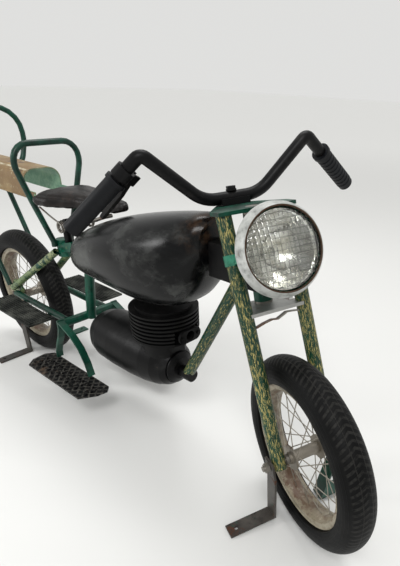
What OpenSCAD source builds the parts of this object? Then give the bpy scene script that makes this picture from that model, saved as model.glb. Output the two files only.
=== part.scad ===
// Fairground ride motorcycle for a child: tube frame, two seats, turning
// fork with headlight and high bars, two spoked wheels and bolt-down feet.
// Millimetres. X is forward, Y is the rider's left, Z is up, floor at Z = 0.

/* [Wheels] */
// Outer diameter of each tyre
tyre_d = 430; // [400:5:460]
// Width of each tyre
tyre_w = 72; // [60:1:80]
// Outer diameter of the rim's lips
rim_d = 320; // [300:2:340]
// Width over the rim's lips
rim_w = 50; // [40:1:56]
// Spokes in each wheel
spoke_count = 32; // [16:4:36]
// Distance between the axles with the fork straight
wheelbase = 1203; // [1150:1:1300]

/* [Fork] */
// Angle of the fork legs from the vertical
leg_rake = 23.2; // [20:0.2:26]
// Angle of the steering axis from the vertical
head_rake = 11.5; // [9:0.5:16]
// How far the fork stands turned to the right at rest
steer_rest = 24.5; // [0:0.5:28]
// Outer diameter of the main tubes
tube_d = 30; // [26:1:34]
// Half the distance between the fork legs' centres
leg_y = 64; // [60:1:70]
// Outer diameter of the handlebar tube
bar_d = 25; // [22:1:28]
// Outer diameter of the headlight's ring
lamp_d = 172; // [160:2:190]

/* [Frame] */
// Outer diameter of the stays
stay_d = 21; // [18:1:24]
// Outer diameter of the hoop tubes
hoop_d = 16; // [14:1:18]
// Half the distance between the chain stays' centres
stay_y = 66; // [64:1:72]
// Length of each bolt-down foot
foot_len = 115; // [90:2:130]
// Width of each foot's flat bar
foot_w = 32; // [28:1:38]
// Diameter of the bolt hole in each foot
foot_hole_d = 9; // [7:0.5:12]

/* [Hidden] */
$fn = 64;

// ---- places, measured from the rear axle along X and the floor along Z ----
wheel_r = tyre_d / 2;
front_axle_z = wheel_r + 1.6;
centre_x = 589;
centre_y = 55;
tube_r = tube_d / 2;
stay_r = stay_d / 2;
hoop_r = hoop_d / 2;
bar_r = bar_d / 2;
axle_r = 6;
plate_t = 5;
plate_y = 52;
bracket_y = plate_y + plate_t + 0.3;
hub_half = 41;
wall = 2.5;

// steering axis: a point on it, forward of and above the front axle
head_u = -173;
head_w = 285;
stem_r = 13;
head_r = 19;
head_len = 170;
leg_len = 503;

// bars, measured from the front axle with the fork straight
clamp_u = -301;
clamp_w = 462;
elbow = [-297, 173, 563];
bar_end = [-344, 312, 440.5];
grip_len = 128;

// headlight, along the leg direction and forward of it
lamp_s = 420.5;
lamp_pivot_x = 40;
lamp_r = lamp_d / 2;

// frame points
port_x = 771;
port_half = 36;
port_z = 333;
boss_x = 700;
hanger_w = 20;
board_w = 78;
seat_x0 = -205;
seat_x1 = 225;
seat_z = 580;
seat_half = 55;
saddle_x0 = 308;
nose_x = 512;
nose_z = 572;
saddle_len = 290;
rail_x = 355;
rail_y = 22;
rail_z = 529;
rail_r = 3.5;
top_z = 178;
plate_h = 7;
bar_x = (clamp_u - head_u) * cos(head_rake) + (clamp_w - head_w) * sin(head_rake);
bar_z = (clamp_w - head_w) * cos(head_rake) - (clamp_u - head_u) * sin(head_rake);
grip_r = 17;
lever_x = 26;
lever_z = grip_len + 16;
front_drop = 200;
front_drop_left = 216;
front_lean = 9.5;
front_tuck = 5;
foot_y = 81;
seat_foot = [358, 0, 236];
seat_top = [392, 0, 412];
down_top = [965, 0, 522];
down_foot = [790, 0, 215];
stay_z = 238;
cross_x = 342;
case_z = 220;
barrel_x = 711;
barrel_z = 301;
barrel_top = 396;
box_low = 522;
box_high = 597;
post_x = 272;
footrest_z = 105;

// ---- helpers ----
function unit(v) = v / norm(v);
function flip_y(p) = [p[0], -p[1], p[2]];

// points of a path whose inner corners are rounded, each with its own radius
function corner(a, p, b, r, n) =
    let (u = unit(a - p), v = unit(b - p),
         half = acos(u * v) / 2,
         t = r / tan(half),
         c = p + unit(u + v) * r / sin(half),
         s = p + u * t - c,
         e = p + v * t - c,
         turn = 180 - 2 * half)
    [for (i = [0:n]) c + (s * sin(turn * (1 - i / n)) + e * sin(turn * i / n)) / sin(turn)];

function rounded(pts, radii, n = 6) = concat(
    [pts[0]],
    [for (i = [1:len(pts) - 2]) each corner(pts[i - 1], pts[i], pts[i + 1], radii[i - 1], n)],
    [pts[len(pts) - 1]]);

function tangent(p, i) =
    unit(p[min(i + 1, len(p) - 1)] - p[max(i - 1, 0)]);

// a round rod or tube skin swept along a path, as one closed polyhedron
module sweep(path, r, sides, ref) {
    rings = len(path);
    points = [for (i = [0:rings - 1])
        let (t = tangent(path, i), a = unit(cross(t, ref)), b = cross(t, a))
        for (k = [0:sides - 1])
            path[i] + r * (cos(360 * k / sides) * a + sin(360 * k / sides) * b)];
    walls = [for (i = [0:rings - 2]) for (k = [0:sides - 1])
        let (m = (k + 1) % sides)
        [i * sides + k, i * sides + m, (i + 1) * sides + m, (i + 1) * sides + k]];
    ends = [[for (k = [0:sides - 1]) sides - 1 - k],
            [for (k = [0:sides - 1]) (rings - 1) * sides + k]];
    polyhedron(points, concat(walls, ends), convexity = 6);
}

// a skin through closed rings of points that all have the same length
module loft(rings) {
    n = len(rings);
    m = len(rings[0]);
    points = [for (ring = rings) each ring];
    walls = [for (i = [0:n - 2]) for (k = [0:m - 1])
        let (j = (k + 1) % m)
        [i * m + k, i * m + j, (i + 1) * m + j, (i + 1) * m + k]];
    ends = [[for (k = [0:m - 1]) m - 1 - k],
            [for (k = [0:m - 1]) (n - 1) * m + k]];
    polyhedron(points, concat(walls, ends), convexity = 4);
}

// smooth value between table rows: row[0] is the place, row[c] the value
function slope(rows, i, c) =
    i == 0 ? (rows[1][c] - rows[0][c]) / (rows[1][0] - rows[0][0]) :
    i == len(rows) - 1 ? (rows[i][c] - rows[i - 1][c]) / (rows[i][0] - rows[i - 1][0]) :
    (rows[i + 1][c] - rows[i - 1][c]) / (rows[i + 1][0] - rows[i - 1][0]);

function span_of(rows, x, i = 0) =
    i >= len(rows) - 2 || x <= rows[i + 1][0] ? i : span_of(rows, x, i + 1);

function smooth(rows, x, c) =
    let (i = span_of(rows, x), h = rows[i + 1][0] - rows[i][0],
         t = (x - rows[i][0]) / h)
    (2 * t ^ 3 - 3 * t ^ 2 + 1) * rows[i][c] + (t ^ 3 - 2 * t ^ 2 + t) * h * slope(rows, i, c)
    + (3 * t ^ 2 - 2 * t ^ 3) * rows[i + 1][c] + (t ^ 3 - t ^ 2) * h * slope(rows, i + 1, c);

// outline of a flat strip of one thickness along a 2D path
function strip(p, t) = concat(
    [for (i = [0:len(p) - 1]) let (d = tangent(p, i)) p[i] + [-d[1], d[0]] * t / 2],
    [for (i = [len(p) - 1:-1:0]) let (d = tangent(p, i)) p[i] - [-d[1], d[0]] * t / 2]);

// a straight tube between two points
module tube(a, b, r_out, r_in) {
    d = b - a;
    translate(a)
        rotate([0, acos(d[2] / norm(d)), atan2(d[1], d[0])])
            difference() {
                cylinder(h = norm(d), r = r_out);
                translate([0, 0, -1])
                    cylinder(h = norm(d) + 2, r = r_in);
            }
}

module rod(a, b, r) {
    d = b - a;
    translate(a)
        rotate([0, acos(d[2] / norm(d)), atan2(d[1], d[0])])
            cylinder(h = norm(d), r = r);
}

module along_y(y0, y1, r) {
    translate([0, y0, 0])
        rotate([-90, 0, 0])
            cylinder(h = y1 - y0, r = r);
}

module along_x(x0, x1, r) {
    translate([x0, 0, 0])
        rotate([0, 90, 0])
            cylinder(h = x1 - x0, r = r);
}

module hex_nut(y0, t, across) {
    translate([0, y0, 0])
        rotate([-90, 0, 0])
            cylinder(h = t, d = across / cos(30), $fn = 6);
}

// ---- frames of reference ----
module on_frame() {
    translate([-centre_x, -centre_y, 0])
        children();
}

// at the front axle with the fork straight
module at_front() {
    on_frame()
        translate([wheelbase, 0, front_axle_z])
            children();
}

// along the steering axis, origin at the lower end of the head tube
module on_head() {
    translate([head_u, 0, head_w])
        rotate([0, -head_rake, 0])
            children();
}

// everything that turns with the fork, drawn straight, placed as it rests
module on_fork() {
    at_front()
        translate([head_u, 0, head_w])
            rotate([0, -head_rake, 0])
                rotate([0, 0, -steer_rest])
                    rotate([0, head_rake, 0])
                        translate([-head_u, 0, -head_w])
                            children();
}

// along the fork legs: Z up the legs, X forward of them
module on_legs() {
    rotate([0, -leg_rake, 0])
        children();
}

module mirrored(left) {
    if (left)
        mirror([0, 1, 0])
            children();
    else
        children();
}

// ---- wheels, centred on the axle ----
module tyre_body() {
    half = tyre_w / 2;
    lip = rim_d / 2;
    color([0.06, 0.06, 0.06])
        rotate([90, 0, 0])
            rotate_extrude($fn = 120)
                difference() {
                    union() {
                        intersection() {
                            translate([wheel_r - half, 0])
                                circle(r = half, $fn = 48);
                            translate([lip + 0.3, -half])
                                square([tyre_w, tyre_w]);
                        }
                        translate([lip - 10.2, 5.3 - rim_w / 2])
                            square([16, rim_w - 10.6]);
                    }
                    translate([wheel_r - half + 3, 0])
                        circle(r = half - 9, $fn = 48);
                    translate([lip - 20, -13])
                        square([26, 26]);
                }
}

module rim_body() {
    lip = rim_d / 2;
    half = rim_w / 2;
    color([0.72, 0.68, 0.58])
        rotate([90, 0, 0])
            difference() {
                rotate_extrude($fn = 120)
                    polygon([
                        [lip - 22, -8], [lip - 16, -15], [lip - 14, -half + 2],
                        [lip - 4, -half + 2], [lip - 2, -half], [lip, -half + 2.5],
                        [lip - 2, -half + 5], [lip - 10.5, -half + 5], [lip - 13, -13],
                        [lip - 19, -6], [lip - 19, 6], [lip - 13, 13],
                        [lip - 10.5, half - 5], [lip - 2, half - 5], [lip, half - 2.5],
                        [lip - 2, half], [lip - 4, half - 2], [lip - 14, half - 2],
                        [lip - 16, 15], [lip - 22, 8]
                    ]);
                rotate([0, 0, 200])
                    translate([lip - 30, 0, 0])
                        rotate([0, 90, 0])
                            cylinder(h = 20, r = 4.5);
            }
}

// hub barrel with two flanges and its crossed spokes
module hub_body() {
    flange_r = 27;
    flange_y = 33;
    rim_seat = rim_d / 2 - 22.3;
    color([0.5, 0.47, 0.42]) {
        difference() {
            union() {
                along_y(-hub_half, hub_half, 13);
                for (s = [-1, 1])
                    translate([0, s * flange_y, 0])
                        along_y(-2, 2, flange_r);
            }
            along_y(-hub_half - 1, hub_half + 1, axle_r + 0.05);
        }
        for (i = [0:spoke_count - 1]) {
            side = i % 2 == 0 ? 1 : -1;
            lead = floor(i / 2) % 2 == 0 ? 52 : -52;
            at_rim = 360 * i / spoke_count;
            at_hub = at_rim + lead;
            rod([(flange_r - 4) * cos(at_hub), side * flange_y, (flange_r - 4) * sin(at_hub)],
                [rim_seat * cos(at_rim), side * 3, rim_seat * sin(at_rim)], 1.1, $fn = 16);
        }
    }
}

// axle with a nut at each end, and spacers out to the plates
module axle_body(half, nut_y, spacer_end) {
    color([0.33, 0.29, 0.25]) {
        along_y(-half, half, axle_r);
        for (s = [0, 1])
            mirrored(s == 1) {
                hex_nut(nut_y, 9, 19);
                along_y(hub_half + 0.5, spacer_end, 11);
            }
    }
}

// bent flat bar: down from the axle, leaning back by lean and in by tuck, then out
module foot_body(y0, drop, lean, tuck, width) {
    run = drop * tan(lean);
    inset = drop * tan(tuck);
    h = width / 2;
    difference() {
        union() {
            translate([0, y0, 0])
                rotate([90 - tuck, 0, 0])
                    translate([0, 0, -plate_t])
                        linear_extrude(plate_t)
                            polygon([
                                [-h, 14], [h, 14], [h, -40], [h - run, 2 - drop],
                                [-h - run, 2 - drop], [-h, -40]
                            ]);
            translate([-h - run, y0 - inset, -drop])
                cube([width, foot_len, plate_t]);
        }
        along_y(y0 - 10, y0 + 20, axle_r + 0.1);
        translate([-run, y0 - inset + foot_len - 20, -drop - 1])
            cylinder(h = plate_t + 2, d = foot_hole_d);
    }
}

// ---- frame ----
module head_tube() {
    color([0.05, 0.12, 0.08])
        at_front()
            on_head()
                difference() {
                    cylinder(h = head_len, r = head_r);
                    translate([0, 0, -1])
                        cylinder(h = head_len + 2, r = stem_r + 0.06);
                }
}

module head_box() {
    color([0.05, 0.05, 0.05])
        difference() {
            on_frame()
                translate([896.3, -21, box_low])
                    cube([140, 42, box_high - box_low]);
            at_front()
                on_head() {
                    translate([0, 0, -20])
                        cylinder(h = head_len + 40, r = head_r + 0.02);
                    translate([0, -50, -20])
                        cube([120, 100, head_len + 60]);
                }
        }
}

module down_tube() {
    reach = unit(down_top - down_foot) * 20;
    color([0.16, 0.36, 0.22])
        on_frame()
            difference() {
                tube(down_foot, down_top + reach, tube_r, tube_r - wall);
                translate([900, -40, box_low - 0.05])
                    cube([120, 80, 60]);
                translate([0, 0, case_z - 8])
                    along_x(700, 808, 17.05);
            }
}

module seat_tube() {
    color([0.1, 0.3, 0.18])
        difference() {
            on_frame()
                tube(seat_foot, seat_top, tube_r - 1, tube_r - 1 - wall);
            on_frame()
                translate([cross_x, -60, stay_z])
                    rotate([-90, 0, 0])
                        cylinder(h = 120, r = 13.05);
        }
}

// short box beam from the stays' joint to the tank's tail
module seat_cluster() {
    color([0.07, 0.33, 0.2])
        on_frame()
            difference() {
                union() {
                    translate([post_x, 0, 413])
                        cylinder(h = 50, r = 19);
                    translate([post_x, 0, 425])
                        rotate([0, -14, 0])
                            translate([0, -16, 0])
                                cube([96, 32, 26]);
                }
                translate([344.7, -30, 400])
                    cube([60, 60, 120]);
                rod([306, 0, 447], [306, 0, 520], 11.05);
            }
}

module seat_stay(left) {
    color([0.55, 0.68, 0.45])
        on_frame()
            mirrored(left)
                difference() {
                    tube([14, -stay_y, 254], [post_x + 2, -28, 430], stay_r, stay_r - 2);
                    translate([-40, -plate_y - plate_t - 0.02, 180])
                        cube([100, 60, 130]);
                    translate([post_x, 0, 405])
                        cylinder(h = 60, r = 19.02);
                }
}

module seat_stay_right() {
    seat_stay(false);
}

module seat_stay_left() {
    seat_stay(true);
}

module chain_stay(left) {
    color([0.12, 0.32, 0.2])
        on_frame()
            mirrored(left)
                difference() {
                    tube([30, -stay_y, stay_z], [cross_x - 13.3, -stay_y, stay_z],
                         stay_r, stay_r - 2);
                    translate([-40, -plate_y - plate_t - 0.02, 180])
                        cube([110, 60, 130]);
                }
}

module chain_stay_right() {
    chain_stay(false);
}

module chain_stay_left() {
    chain_stay(true);
}

module cross_tube() {
    color([0.06, 0.26, 0.16])
        on_frame()
            translate([cross_x, 0, stay_z])
                difference() {
                    along_y(-84, 84, 13);
                    along_y(-85, 85, 10.5);
                }
}

module axle_plate(left) {
    color([0.5, 0.66, 0.5])
        on_frame()
            mirrored(left)
                difference() {
                    translate([0, -plate_y, wheel_r])
                        rotate([90, 0, 0])
                            linear_extrude(plate_t)
                                polygon([
                                    [-16, -14], [12, -16], [24, 4], [52, 22],
                                    [58, 44], [44, 66], [14, 66], [-14, 40]
                                ]);
                    translate([0, -plate_y - plate_t - 1, wheel_r])
                        along_y(0, plate_t + 2, axle_r + 0.1);
                }
}

module axle_plate_right() {
    axle_plate(false);
}

module axle_plate_left() {
    axle_plate(true);
}

// place along X, top, bottom, half width
TANK = [
    [345, 458, 428, 17], [372, 484, 410, 39], [429, 522, 405, 67],
    [513, 560, 406, 88], [607, 592, 407, 103], [700, 616, 405, 109],
    [785, 634, 418, 104], [842, 644, 446, 90], [877, 648, 494, 69],
    [896, 640, 540, 46]
];

function tank_ring(x, sides) =
    let (top = smooth(TANK, x, 1), low = smooth(TANK, x, 2), w = smooth(TANK, x, 3),
         mid = low + (top - low) * 0.46)
    [for (k = [0:sides - 1])
        let (a = 360 * k / sides, c = cos(a), s = sin(a),
             round = 0.86)
        [x, w * sign(c) * abs(c) ^ round,
         mid + (s > 0 ? top - mid : mid - low) * sign(s) * abs(s) ^ round]];

module tank() {
    steps = 30;
    color([0.07, 0.07, 0.07])
        difference() {
            on_frame()
                loft([for (i = [0:steps])
                    tank_ring(345 + 551 * (0.5 - 0.5 * cos(180 * i / steps)), 40)]);
            on_frame()
                rod(seat_foot, seat_top + unit(seat_top - seat_foot) * 0.5, tube_r - 0.9);
        }
}

// finned barrel standing on the crankcase
module barrel_body() {
    fins = 8;
    pitch = (barrel_top - barrel_z - 12) / fins;
    fin_r = 88;
    cylinder(h = barrel_top - barrel_z, r = 72);
    for (i = [0:fins - 1])
        translate([0, 0, 10 + i * pitch])
            cylinder(h = 5, r = fin_r - 1.2 * max(0, 2 - i));
}

module barrel() {
    color([0.06, 0.06, 0.06])
        on_frame()
            translate([barrel_x, 0, barrel_z])
                difference() {
                    barrel_body();
                    translate([port_x - barrel_x, -port_half - 2, port_z - barrel_z - 20])
                        cube([60, 2 * port_half + 4, 40]);
                }
}

// oval exhaust port on the front of the barrel
module exhaust_flange() {
    reach = 34;
    color([0.12, 0.11, 0.1])
        on_frame()
            translate([port_x + 0.05, 0, port_z])
                difference() {
                    union() {
                        along_x(0, reach, 17);
                        translate([reach - 7, 0, 0])
                            rotate([90, 0, 90])
                                linear_extrude(7)
                                    union() {
                                        square([36, 34], center = true);
                                        for (s = [-1, 1])
                                            translate([18 * s, 0])
                                                circle(r = 17);
                                    }
                        for (s = [-1, 1])
                            translate([reach, 26 * s, 0])
                                along_x(0, 4, 5);
                    }
                    along_x(8, reach + 1, 13);
                }
}

// radius of the crankcase skin along X
CASE = [[408, 0], [414, 30], [430, 56], [452, 69], [480, 77], [538, 80],
        [614, 80], [672, 76], [710, 69], [738, 58], [752, 47]];

module crankcase() {
    color([0.05, 0.05, 0.055])
        on_frame()
            union() {
                translate([0, 0, case_z])
                    rotate([0, 90, 0])
                        rotate_extrude($fn = 96)
                            polygon(concat([for (p = CASE) [p[1], p[0]]], [[0, 752]]));
                translate([boss_x, 0, case_z])
                    intersection() {
                        cylinder(h = barrel_z - case_z - 0.1, r = 58);
                        translate([-100, -100, 0])
                            cube([752 - boss_x + 100, 200, 200]);
                    }
            }
}

// cover on the front of the crankcase with the pipe that meets the down tube
module crankcase_nose() {
    color([0.1, 0.13, 0.1])
        on_frame()
            union() {
                translate([752.2, 0, case_z])
                    rotate([0, 90, 0])
                        rotate_extrude($fn = 96)
                            polygon([[0, 0], [44, 0], [44, 5], [38, 9], [30, 14], [0, 17]]);
                translate([0, 0, case_z - 8])
                    along_x(762, 806, 17);
            }
}

// two bent flat bars that carry one footrest
REAR_BAR = [[343, 253], [342, 226], [330, 194], [311, 161], [299, 132], [297, footrest_z + 5.9]];
FRONT_BAR = [[342, 249], [364, 240], [403, 220], [435, 191], [457, 150], [468, footrest_z + 5.9]];

module footrest_hangers(left) {
    color([0.16, 0.38, 0.26])
        on_frame()
            mirrored(left)
                translate([0, -84.3, 0])
                    rotate([90, 0, 0])
                        linear_extrude(hanger_w)
                            union() {
                                polygon(strip(REAR_BAR, 6));
                                polygon(strip(FRONT_BAR, 6));
                            }
}

module footrest_hangers_right() {
    footrest_hangers(false);
}

module footrest_hangers_left() {
    footrest_hangers(true);
}

module footrest_plate(left) {
    columns = 17;
    rows = 3;
    color([0.05, 0.05, 0.05])
        on_frame()
            mirrored(left)
                union() {
                    translate([0, 0, footrest_z])
                        linear_extrude(5)
                            polygon([
                                [248, -118], [264, -94], [550, -94], [566, -110],
                                [562, -140], [534, -184], [272, -184], [252, -160]
                            ]);
                    for (i = [0:columns - 1])
                        for (j = [0:rows - 1])
                            translate([274 + i * 16, -132 - j * 16, footrest_z + 5])
                                cube([10, 8, 3]);
                }
}

module footrest_plate_right() {
    footrest_plate(false);
}

module footrest_plate_left() {
    footrest_plate(true);
}

module rear_board(left) {
    inner = stay_y + stay_r + 10;
    ribs = 9;
    pitch = (board_w - 8) / ribs;
    color([0.2, 0.22, 0.2])
        on_frame()
            mirrored(left)
                union() {
                    translate([35, -inner - board_w, stay_z - 3])
                        cube([255, board_w, 6]);
                    for (i = [0:ribs - 1])
                        translate([40, -inner - 6 - i * pitch - 4, stay_z + 3])
                            cube([245, 4, 3]);
                    for (x = [78, 226])
                        translate([x, -inner - 12, stay_z - stay_r - 4.2]) {
                            cube([18, 12, stay_r + 1.2]);
                            cube([18, 30, 4]);
                        }
                }
}

module rear_board_right() {
    rear_board(false);
}

module rear_board_left() {
    rear_board(true);
}

module hoop(x_low, x_high, y_low, y_high, z_low, z_bend, z_wide, z_top, corner_r) {
    half = [[x_low, -y_low, z_low], [x_low, -y_low, z_low + 14],
            [(x_low + x_high) / 2, -(y_low + y_high) / 2 - 6, z_bend],
            [x_high, -y_high, z_wide], [x_high, -y_high, z_top]];
    other = [for (i = [4:-1:0]) flip_y(half[i])];
    radii = [20, 60, 60, corner_r, corner_r, 60, 60, 20];
    sweep(rounded(concat(half, other), radii, 5), hoop_r, 14, [1, 0, 0]);
}

module front_hoop() {
    color([0.07, 0.22, 0.14])
        on_frame()
            hoop(post_x, post_x + 3, 27.3, 92, 446, 578, 667, 724, 43);
}

module rear_hoop() {
    color([0.07, 0.2, 0.13])
        on_frame()
            hoop(-45, -58, 64, 110, 590, 645, 690, 787, 72);
}

// outline of the seat's arch, from one lower lip over the top to the other
function arch(half, top, r, n = 8) = concat(
    [[-half, 0]],
    [for (i = [0:n]) [-half + r - r * cos(90 * i / n), top - r + r * sin(90 * i / n)]],
    [for (i = [0:n]) [half - r + r * sin(90 * i / n), top - r + r * cos(90 * i / n)]],
    [[half, 0]]);

module pillion_seat() {
    color([0.5, 0.4, 0.22])
        on_frame()
            union() {
                translate([seat_x0, 0, seat_z])
                    rotate([90, 0, 90])
                        linear_extrude(seat_x1 - seat_x0)
                            difference() {
                                polygon(arch(seat_half, 74, 34));
                                translate([0, -0.01])
                                    polygon(arch(seat_half - 3, 71, 31));
                            }
                for (s = [-1, 1]) {
                    translate([0, s * (seat_half - 0.8), seat_z + 3])
                        along_x(seat_x0, seat_x1, 2.7);
                    translate([seat_x1 - 1, s * (seat_half - 1.5) - 1.5, seat_z + 2])
                        cube([52, 3, 20]);
                    translate([post_x, 0, seat_z + 12])
                        along_y(min(s * 54, s * 58), max(s * 54, s * 58), 5);
                    translate([-46, 0, seat_z + 16])
                        along_y(min(s * 46, s * 55.8), max(s * 46, s * 55.8), 5);
                }
            }
}

module rear_strut(left) {
    color([0.07, 0.25, 0.16])
        on_frame()
            mirrored(left)
                rod([-10, -65.2, 256], [-182, -65.2, 592], 8);
}

module rear_strut_right() {
    rear_strut(false);
}

module rear_strut_left() {
    rear_strut(true);
}

module rear_axle() {
    on_frame()
        translate([0, 0, wheel_r])
            axle_body(78, bracket_y + plate_t + 0.3, plate_y - 0.5);
}

module rear_foot_right() {
    color([0.3, 0.32, 0.26])
        on_frame()
            translate([0, 0, wheel_r])
                mirrored(true)
                    foot_body(bracket_y, wheel_r, 0, 0, foot_w);
}

module rear_foot_left() {
    color([0.3, 0.32, 0.26])
        on_frame()
            translate([0, 0, wheel_r])
                foot_body(bracket_y, wheel_r, 0, 0, foot_w);
}

// ---- saddle ----
module saddle_post() {
    color([0.12, 0.12, 0.1])
        on_frame()
            difference() {
                union() {
                    rod([306, 0, 447.2], [306, 0, 496], 11);
                    translate([306, 0, 496])
                        sphere(r = 11);
                    rod([306, 0, 496], [rail_x, 0, rail_z], 11);
                    translate([rail_x, 0, rail_z])
                        along_y(-30, 30, 12);
                }
                for (s = [-1, 1])
                    translate([0, s * rail_y, rail_z])
                        along_x(280, 440, rail_r + 0.1);
            }
}

// rails from the clamp forward to the nose pivot
module saddle_rails() {
    color([0.2, 0.18, 0.16])
        on_frame()
            union() {
                for (s = [-1, 1]) {
                    path = [[330, s * rail_y, rail_z], [390, s * rail_y, rail_z],
                            [438, s * 16, 545], [nose_x, s * 10, nose_z]];
                    for (i = [0:len(path) - 2])
                        rod(path[i], path[i + 1], rail_r);
                    for (i = [1:len(path) - 2])
                        translate(path[i])
                            sphere(r = rail_r + 0.5);
                }
                translate([nose_x, 0, nose_z])
                    along_y(-16, 16, 5);
            }
}

// hairpin springs with one coil between the clamp and the cantle
module saddle_springs() {
    turns = 2.25;
    steps = 30;
    coil_r = 14;
    color([0.25, 0.22, 0.2])
        on_frame()
            for (s = [-1, 1]) {
                coil = [for (i = [0:steps])
                    let (a = 90 - 360 * turns * i / steps)
                    [rail_x + 4 + coil_r * cos(a), s * (50 - 11 * i / steps), rail_z - 6 + coil_r * sin(a)]];
                path = concat([[318, s * 72, 575], [336, s * 58, 552]], coil, [[351, s * 37.5, 538]]);
                sweep(path, 2.4, 8, [0, 1, 0]);
            }
}

// place along X, top, skirt's lower edge, half width
SADDLE = [
    [308, 604, 586, 60], [318, 616, 582, 88], [339, 622, 579, 95], [375, 624, 579, 88],
    [413, 624, 580, 63], [451, 624, 583, 41], [508, 625, 585, 28], [565, 627, 590, 21],
    [589, 624, 597, 15], [598, 618, 604, 8]
];

function saddle_ring(x, sides) =
    let (top = smooth(SADDLE, x, 1), low = smooth(SADDLE, x, 2), w = smooth(SADDLE, x, 3),
         mid = low + (top - low) * 0.35)
    [for (k = [0:sides - 1])
        let (a = 360 * k / sides, c = cos(a), s = sin(a))
        [x, w * sign(c) * abs(c) ^ 0.7,
         mid + (s > 0 ? top - mid : mid - low) * sign(s) * abs(s) ^ (s > 0 ? 0.9 : 0.5)]];

module saddle_cover() {
    steps = 22;
    color([0.1, 0.07, 0.06])
        on_frame()
            loft([for (i = [0:steps])
                saddle_ring(saddle_x0 + saddle_len * (0.5 - 0.5 * cos(180 * i / steps)), 28)]);
}

// ---- fork ----
module steering_stem() {
    color([0.2, 0.2, 0.18])
        on_fork()
            on_head()
                union() {
                    translate([0, 0, -12])
                        cylinder(h = top_z + 19, r = stem_r);
                    translate([0, 0, -4])
                        cylinder(h = 3.6, r = head_r);
                    translate([0, 0, head_len + 0.4])
                        cylinder(h = top_z - head_len - 0.6, r = head_r);
                }
}

module leg_cutter(extra) {
    on_legs()
        for (s = [-1, 1])
            translate([0, s * leg_y, 200])
                cylinder(h = 400, r = tube_r + extra);
}

module top_plate() {
    color([0.05, 0.06, 0.05])
        on_fork()
            on_head()
                translate([0, 0, top_z])
                    difference() {
                        linear_extrude(plate_h)
                            polygon([
                                [-10, -leg_y - 18], [30, -leg_y - 16], [30, leg_y + 16],
                                [-10, leg_y + 18], [-104, 33], [-104, -33]
                            ]);
                        translate([0, 0, -1])
                            cylinder(h = plate_h + 2, r = stem_r + 0.05);
                    }
}

module lower_yoke() {
    color([0.42, 0.42, 0.4])
        on_fork()
            difference() {
                on_head()
                    translate([0, 0, -4 - plate_h])
                        difference() {
                            linear_extrude(plate_h)
                                polygon([
                                    [40, -leg_y + 6], [64, -leg_y + 6], [64, leg_y - 6],
                                    [40, leg_y - 6], [-20, 24], [-20, -24]
                                ]);
                            translate([0, 0, -1])
                                cylinder(h = plate_h + 2, r = stem_r + 0.05);
                        }
                leg_cutter(0.05);
            }
}

module fork_leg(left) {
    color([0.4, 0.5, 0.25])
        on_fork()
            difference() {
                on_legs()
                    mirrored(left)
                        translate([0, -leg_y, -12])
                            cylinder(h = leg_len + 40, r = tube_r);
                on_head()
                    translate([-200, -200, top_z - 0.05])
                        cube([400, 400, 200]);
                along_y(-100, 100, axle_r + 0.05);
                on_legs()
                    translate([0, (left ? 1 : -1) * leg_y, 14])
                        cylinder(h = leg_len, r = tube_r - wall);
            }
}

module fork_leg_right() {
    fork_leg(false);
}

module fork_leg_left() {
    fork_leg(true);
}

// thin wavy strip between the legs
module fork_stay() {
    color([0.3, 0.3, 0.27])
        on_fork()
            on_legs()
                translate([-6, 0, 290])
                    rotate([90, 0, 90])
                        linear_extrude(12)
                            polygon(strip([
                                [-48.9, -5], [-30, 0], [-12, 3], [0, 1], [10, 5],
                                [22, 10], [34, 9], [48.9, 7]
                            ], 3));
}

function bar_path() =
    let (bend = [clamp_u, 62, clamp_w],
         half = [[bar_end[0], bar_end[1], bar_end[2]], elbow, bend])
    rounded(concat([for (p = half) flip_y(p)], [for (i = [2:-1:0]) half[i]]),
            [14, 75, 75, 14], 6);

module handlebar() {
    color([0.06, 0.06, 0.06])
        on_fork()
            sweep(bar_path(), bar_r, 20, [1, 0, 0]);
}

module bar_clamp() {
    low = top_z + plate_h + 0.05;
    color([0.08, 0.08, 0.08])
        on_fork()
            union() {
                difference() {
                    on_head()
                        translate([bar_x - 21, -31, low])
                            cube([42, 62, bar_z - low - 1]);
                    translate([clamp_u, 0, clamp_w])
                        along_y(-40, 40, bar_r + 0.1);
                }
                on_head()
                    translate([bar_x, 0, bar_z + bar_r + 0.1])
                        union() {
                            cylinder(h = 3, r = 11);
                            cylinder(h = 9, d = 17 / cos(30), $fn = 6);
                        }
            }
}

// along a grip: Z from the bar's end towards the elbow, X to the lever's side
module on_grip(side) {
    d = unit(elbow - bar_end);
    translate([bar_end[0], side * bar_end[1], bar_end[2]])
        rotate([0, acos(d[2]), atan2(side * d[1], d[0])])
            rotate([0, 0, -side * 50])
                children();
}

module grip(side, ribs) {
    color([0.07, 0.07, 0.08])
        on_fork()
            on_grip(side)
                difference() {
                    union() {
                        translate([0, 0, -5])
                            cylinder(h = grip_len + 5, r = grip_r);
                        translate([0, 0, grip_len - 8])
                            cylinder(h = 8, r = grip_r + 3);
                        for (i = [0:1:ribs - 1])
                            translate([0, 0, 6 + i * 12])
                                cylinder(h = 6, r = grip_r + 1);
                    }
                    translate([0, 0, -0.1])
                        cylinder(h = grip_len + 10, r = bar_r + 0.1);
                }
}

module grip_right() {
    grip(-1, 0);
}

module grip_left() {
    grip(1, 9);
}

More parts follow.
